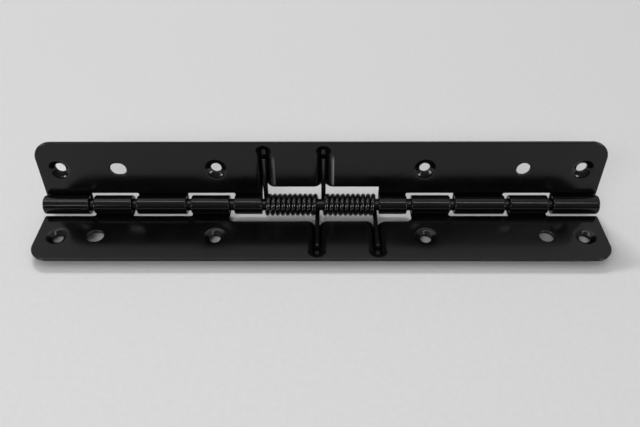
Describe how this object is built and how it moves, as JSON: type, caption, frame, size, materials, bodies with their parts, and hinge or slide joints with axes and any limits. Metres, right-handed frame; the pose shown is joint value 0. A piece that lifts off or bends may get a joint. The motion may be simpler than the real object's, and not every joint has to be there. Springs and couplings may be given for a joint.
{
  "type": "car seat back hinge",
  "caption": "Spring-loaded strip hinge: pressed black leaves rolled on a common pin, torsion springs at the middle that push the leaves open, dimpled screw holes.",
  "frame": {"origin": "middle of the fixed leaf's screw row, on the plane that the bottoms of its dimples bed on", "axes": "+X along the pin, +Z square to the fixed leaf towards the inside of the hinge, so the fixed leaf reaches towards -Y and the swing leaf rises behind it"},
  "size_m": [0.254, 0.0417, 0.0374],
  "materials": {
    "leaf_paint": "gloss black paint on pressed steel",
    "spring_paint": "gloss black paint on spring wire"
  },
  "bodies": {
    "fixed_side": {"fixed_leaf": "leaf_paint", "left_spring": "spring_paint", "right_spring": "spring_paint"},
    "swing_side": {"swing_leaf": "leaf_paint", "hinge_pin": "leaf_paint"}
  },
  "joints": [
    {"name": "leaf_swing", "type": "hinge", "parent": "fixed_side", "child": "swing_side", "pos_m": [0, 0.0173, 0.00595], "axis": [1, 0, 0], "range_deg": [-82, 98], "stiffness_Nm_per_rad": 0.85, "deforming": ["left_spring", "right_spring"]}
  ]
}
